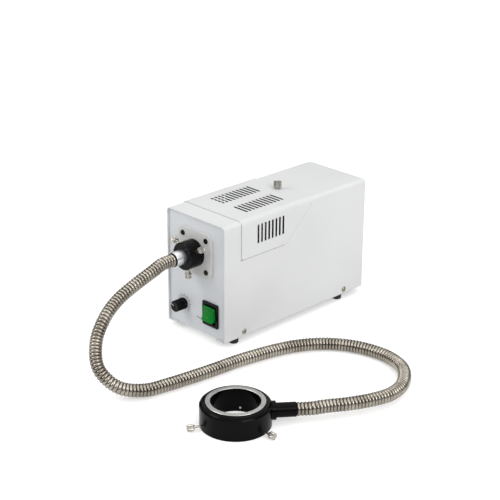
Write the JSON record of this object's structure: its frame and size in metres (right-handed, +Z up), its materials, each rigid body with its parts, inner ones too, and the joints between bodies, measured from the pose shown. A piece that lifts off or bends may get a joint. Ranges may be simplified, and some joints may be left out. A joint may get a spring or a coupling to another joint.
{
  "type": "fiber optic illuminator",
  "caption": "Boxy halogen light source with an access cover, a rear fan and a ribbed light guide that ends in a ring light.",
  "frame": {"origin": "on the table, at the centre of the footprint of the case and the ring light together", "axes": "+Z up and along the ring light's bore; -Y the way the controls and the light port face; +X from the case towards the ring light"},
  "size_m": [0.3293, 0.4314, 0.1655],
  "materials": {
    "case_paint": "satin powder coat",
    "panel_paint": "satin powder coat",
    "zinc": "zinc plated",
    "plate_metal": "satin",
    "black_metal": "black anodised",
    "black_steel": "black oxide",
    "nickel": "nickel plated",
    "steel": "bright",
    "conduit": "polished stainless strip",
    "silver_face": "turned",
    "rubber": "matt",
    "black_plastic": "semi gloss",
    "matte_black_plastic": "matt",
    "green_rocker": "translucent green",
    "glass": "clear",
    "reflector_glass": "dichroic",
    "fibre": "polished glass fibre ends",
    "ceramic": "ceramic",
    "lamination": "varnished laminations",
    "coil_tape": "taped winding",
    "board": "glass epoxy",
    "components": "mixed components",
    "fin_metal": "extruded",
    "brass_pins": "plated brass",
    "wire_sheath": "insulated copper"
  },
  "bodies": {
    "case": {"outer_shell": "case_paint", "base_pan": "zinc", "front_panel": "panel_paint", "rear_panel": "panel_paint", "port_plate": "plate_metal", "port_screws": "black_steel", "guide_barrel": "black_metal", "heat_filter": "glass", "cover_bracket": "zinc", "shell_screws": "black_steel", "feet": "rubber", "foot_screws": "steel", "lamp_bracket": "zinc", "lamp_reflector": "reflector_glass", "lamp_capsule": "glass", "lamp_socket": "ceramic", "transformer_core": "lamination", "transformer_coil": "coil_tape", "transformer_screws": "steel", "fan_frame": "matte_black_plastic", "rear_screws": "steel", "control_board": "board", "board_parts": "components", "heat_sink": "fin_metal", "board_standoffs": "brass_pins", "inlet_socket": "matte_black_plastic", "inlet_pins": "brass_pins", "dimmer_pot": "matte_black_plastic", "switch_bezel": "black_plastic", "switch_body": "matte_black_plastic", "wiring": "wire_sheath"},
    "cover": {"access_cover": "case_paint"},
    "cover_screw_stud": {"cover_stud": "nickel"},
    "cover_screw_head": {"cover_head": "nickel"},
    "brightness_knob": {"knob": "black_plastic", "dimmer_shaft": "steel"},
    "power_rocker": {"rocker": "green_rocker"},
    "fan_wheel": {"fan_rotor": "matte_black_plastic"},
    "fuse_holder": {"fuse_drawer": "matte_black_plastic", "fuse": "glass"},
    "light_guide": {"ferrule": "steel", "hose": "conduit", "fibre_bundle": "fibre", "ring_sleeve": "black_metal", "ring_housing": "black_metal", "ring_face": "silver_face", "fibre_annulus": "fibre"},
    "port_screw_stud_a": {"port_stud_a": "nickel"},
    "port_screw_head_a": {"port_head_a": "nickel"},
    "ring_screw_stud_a": {"ring_stud_a": "nickel"},
    "ring_screw_head_a": {"ring_head_a": "nickel"},
    "port_screw_stud_b": {"port_stud_b": "nickel"},
    "port_screw_head_b": {"port_head_b": "nickel"},
    "ring_screw_stud_b": {"ring_stud_b": "nickel"},
    "ring_screw_head_b": {"ring_head_b": "nickel"},
    "port_screw_stud_c": {"port_stud_c": "nickel"},
    "port_screw_head_c": {"port_head_c": "nickel"},
    "ring_screw_stud_c": {"ring_stud_c": "nickel"},
    "ring_screw_head_c": {"ring_head_c": "nickel"}
  },
  "joints": [
    {"name": "guide_pull", "type": "slide", "parent": "case", "child": "light_guide", "axis": [0, -1, 0], "range_m": [0, 0.036]},
    {"name": "cover_lift", "type": "slide", "parent": "case", "child": "cover", "axis": [0, 0, 1], "range_m": [0, 0.05]},
    {"name": "cover_screw_travel", "type": "slide", "parent": "cover", "child": "cover_screw_stud", "axis": [0, 0, 1], "range_m": [0, 0.008]},
    {"name": "cover_screw_spin", "type": "hinge", "parent": "cover_screw_stud", "child": "cover_screw_head", "pos_m": [-0.09348, 0.09599, 0.16], "axis": [0, 0, 1], "range_deg": [0, 4116]},
    {"name": "knob_turn", "type": "hinge", "parent": "case", "child": "brightness_knob", "pos_m": [-0.11699, -0.04701, 0.0365], "axis": [0, 1, 0], "range_deg": [-72, 208]},
    {"name": "rocker_tilt", "type": "hinge", "parent": "case", "child": "power_rocker", "pos_m": [-0.06949, -0.03701, 0.037], "axis": [1, 0, 0], "range_deg": [0, 22]},
    {"name": "fan_spin", "type": "hinge", "parent": "case", "child": "fan_wheel", "pos_m": [-0.09348, 0.18599, 0.108], "axis": [0, 1, 0], "continuous": true},
    {"name": "fuse_drawer_pull", "type": "slide", "parent": "case", "child": "fuse_holder", "axis": [0, 1, 0], "range_m": [0, 0.016]},
    {"name": "port_screw_travel_a", "type": "slide", "parent": "case", "child": "port_screw_stud_a", "axis": [-0.866, 0, 0.5], "range_m": [0, 0.007]},
    {"name": "port_screw_spin_a", "type": "hinge", "parent": "port_screw_stud_a", "child": "port_screw_head_a", "pos_m": [-0.11557, -0.05401, 0.12375], "axis": [-0.866, 0, 0.5], "range_deg": [0, 3601]},
    {"name": "port_screw_travel_b", "type": "slide", "parent": "case", "child": "port_screw_stud_b", "axis": [0.866, 0, 0.5], "range_m": [0, 0.007]},
    {"name": "port_screw_spin_b", "type": "hinge", "parent": "port_screw_stud_b", "child": "port_screw_head_b", "pos_m": [-0.0714, -0.05401, 0.12375], "axis": [0.866, 0, 0.5], "range_deg": [0, 3601]},
    {"name": "port_screw_travel_c", "type": "slide", "parent": "case", "child": "port_screw_stud_c", "axis": [0, 0, -1], "range_m": [0, 0.007]},
    {"name": "port_screw_spin_c", "type": "hinge", "parent": "port_screw_stud_c", "child": "port_screw_head_c", "pos_m": [-0.09348, -0.05401, 0.0855], "axis": [0, 0, -1], "range_deg": [0, 3601]},
    {"name": "ring_screw_travel_a", "type": "slide", "parent": "light_guide", "child": "ring_screw_stud_a", "axis": [0.9956, 0.0941, 0], "range_m": [-0.003, 0.0075]},
    {"name": "ring_screw_spin_a", "type": "hinge", "parent": "ring_screw_stud_a", "child": "ring_screw_head_a", "pos_m": [0.14079, -0.14881, 0.0044], "axis": [0.9956, 0.0941, 0], "range_deg": [-2161, 5401]},
    {"name": "ring_screw_travel_b", "type": "slide", "parent": "light_guide", "child": "ring_screw_stud_b", "axis": [-0.5793, 0.8151, 0], "range_m": [-0.003, 0.0075]},
    {"name": "ring_screw_spin_b", "type": "hinge", "parent": "ring_screw_stud_b", "child": "ring_screw_head_b", "pos_m": [0.06205, -0.11276, 0.0044], "axis": [-0.5793, 0.8151, 0], "range_deg": [-2161, 5401]},
    {"name": "ring_screw_travel_c", "type": "slide", "parent": "light_guide", "child": "ring_screw_stud_c", "axis": [-0.4163, -0.9092, 0], "range_m": [-0.003, 0.0075]},
    {"name": "ring_screw_spin_c", "type": "hinge", "parent": "ring_screw_stud_c", "child": "ring_screw_head_c", "pos_m": [0.0702, -0.19898, 0.0044], "axis": [-0.4163, -0.9092, 0], "range_deg": [-2161, 5401]}
  ],
  "couplings": [
    {"joint": "cover_screw_spin", "follows": "cover_screw_travel", "rad_per_m": 8976},
    {"joint": "port_screw_spin_a", "follows": "port_screw_travel_a", "rad_per_m": 8976},
    {"joint": "port_screw_spin_b", "follows": "port_screw_travel_b", "rad_per_m": 8976},
    {"joint": "port_screw_spin_c", "follows": "port_screw_travel_c", "rad_per_m": 8976},
    {"joint": "ring_screw_spin_a", "follows": "ring_screw_travel_a", "rad_per_m": 12566},
    {"joint": "ring_screw_spin_b", "follows": "ring_screw_travel_b", "rad_per_m": 12566},
    {"joint": "ring_screw_spin_c", "follows": "ring_screw_travel_c", "rad_per_m": 12566}
  ]
}
